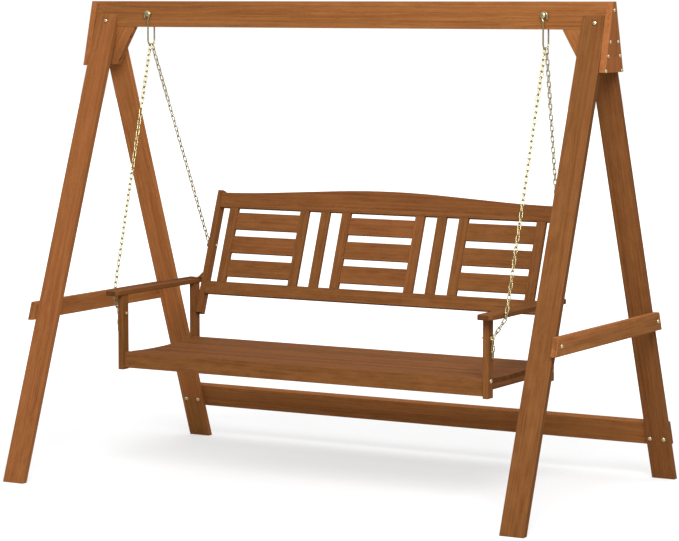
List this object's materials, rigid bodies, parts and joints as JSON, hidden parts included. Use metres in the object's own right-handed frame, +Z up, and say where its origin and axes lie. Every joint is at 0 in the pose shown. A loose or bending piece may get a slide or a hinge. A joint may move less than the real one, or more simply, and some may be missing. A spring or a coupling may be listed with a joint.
{
  "type": "porch swing",
  "caption": "Slatted hardwood garden bench hung by four chains from a free-standing timber A-frame, swinging fore and aft.",
  "frame": {"origin": "on the floor, midway between the end frames and midway front to back", "axes": "+X along the stand towards its right-hand end as a person facing the seat sees it, -Y out of the front of the seat, +Z up"},
  "size_m": [2.1984, 1.296, 1.772],
  "materials": {
    "wood_stand": "oiled",
    "wood_bench": "oiled",
    "zinc_hardware": "yellow zinc plated"
  },
  "bodies": {
    "stand": {"left_front_leg": "wood_stand", "right_front_leg": "wood_stand", "left_rear_leg": "wood_stand", "right_rear_leg": "wood_stand", "top_beam": "wood_stand", "left_gusset": "wood_stand", "right_gusset": "wood_stand", "left_corner_brace": "wood_stand", "right_corner_brace": "wood_stand", "left_side_brace": "wood_stand", "right_side_brace": "wood_stand", "rear_stretcher": "wood_stand", "gusset_screws": "zinc_hardware", "leg_bolts": "zinc_hardware", "side_brace_bolts": "zinc_hardware", "stretcher_bolts": "zinc_hardware", "corner_screws": "zinc_hardware", "stand_nuts": "zinc_hardware", "left_hanger": "zinc_hardware", "right_hanger": "zinc_hardware", "hanger_bolts": "zinc_hardware", "hanger_spacers": "zinc_hardware"},
    "swing": {"left_front_chain": "zinc_hardware", "right_front_chain": "zinc_hardware", "left_rear_chain": "zinc_hardware", "right_rear_chain": "zinc_hardware", "left_front_post": "wood_bench", "right_front_post": "wood_bench", "left_rear_post": "wood_bench", "right_rear_post": "wood_bench", "left_arm": "wood_bench", "right_arm": "wood_bench", "apron": "wood_bench", "rear_rail": "wood_bench", "left_side_rail": "wood_bench", "right_side_rail": "wood_bench", "seat_bearers": "wood_bench", "seat_slats": "wood_bench", "left_back_stile": "wood_bench", "right_back_stile": "wood_bench", "top_rail": "wood_bench", "bottom_rail": "wood_bench", "panel_stiles": "wood_bench", "centre_slats": "wood_bench", "panel_slats": "wood_bench", "eye_bolts": "zinc_hardware", "chain_bolts": "zinc_hardware", "chain_washers": "zinc_hardware", "post_bolts": "zinc_hardware", "back_screws": "zinc_hardware", "arm_brackets": "zinc_hardware", "bracket_screws": "zinc_hardware", "arm_dowels": "wood_bench", "slat_screws": "zinc_hardware", "slat_plugs": "wood_bench", "bench_nuts": "zinc_hardware"},
    "left_tail": {"left_chain_tail": "zinc_hardware"},
    "right_tail": {"right_chain_tail": "zinc_hardware"}
  },
  "joints": [
    {"name": "swing_pivot", "type": "hinge", "parent": "stand", "child": "swing", "pos_m": [0, 0, 1.6256], "axis": [1, 0, 0], "range_deg": [-20, 20]},
    {"name": "left_tail_pivot", "type": "hinge", "parent": "swing", "child": "left_tail", "pos_m": [-0.7825, -0.303, 0.60565], "axis": [1, 0, 0], "range_deg": [-25, 25]},
    {"name": "right_tail_pivot", "type": "hinge", "parent": "swing", "child": "right_tail", "pos_m": [0.7825, -0.303, 0.60565], "axis": [1, 0, 0], "range_deg": [-25, 25]}
  ]
}
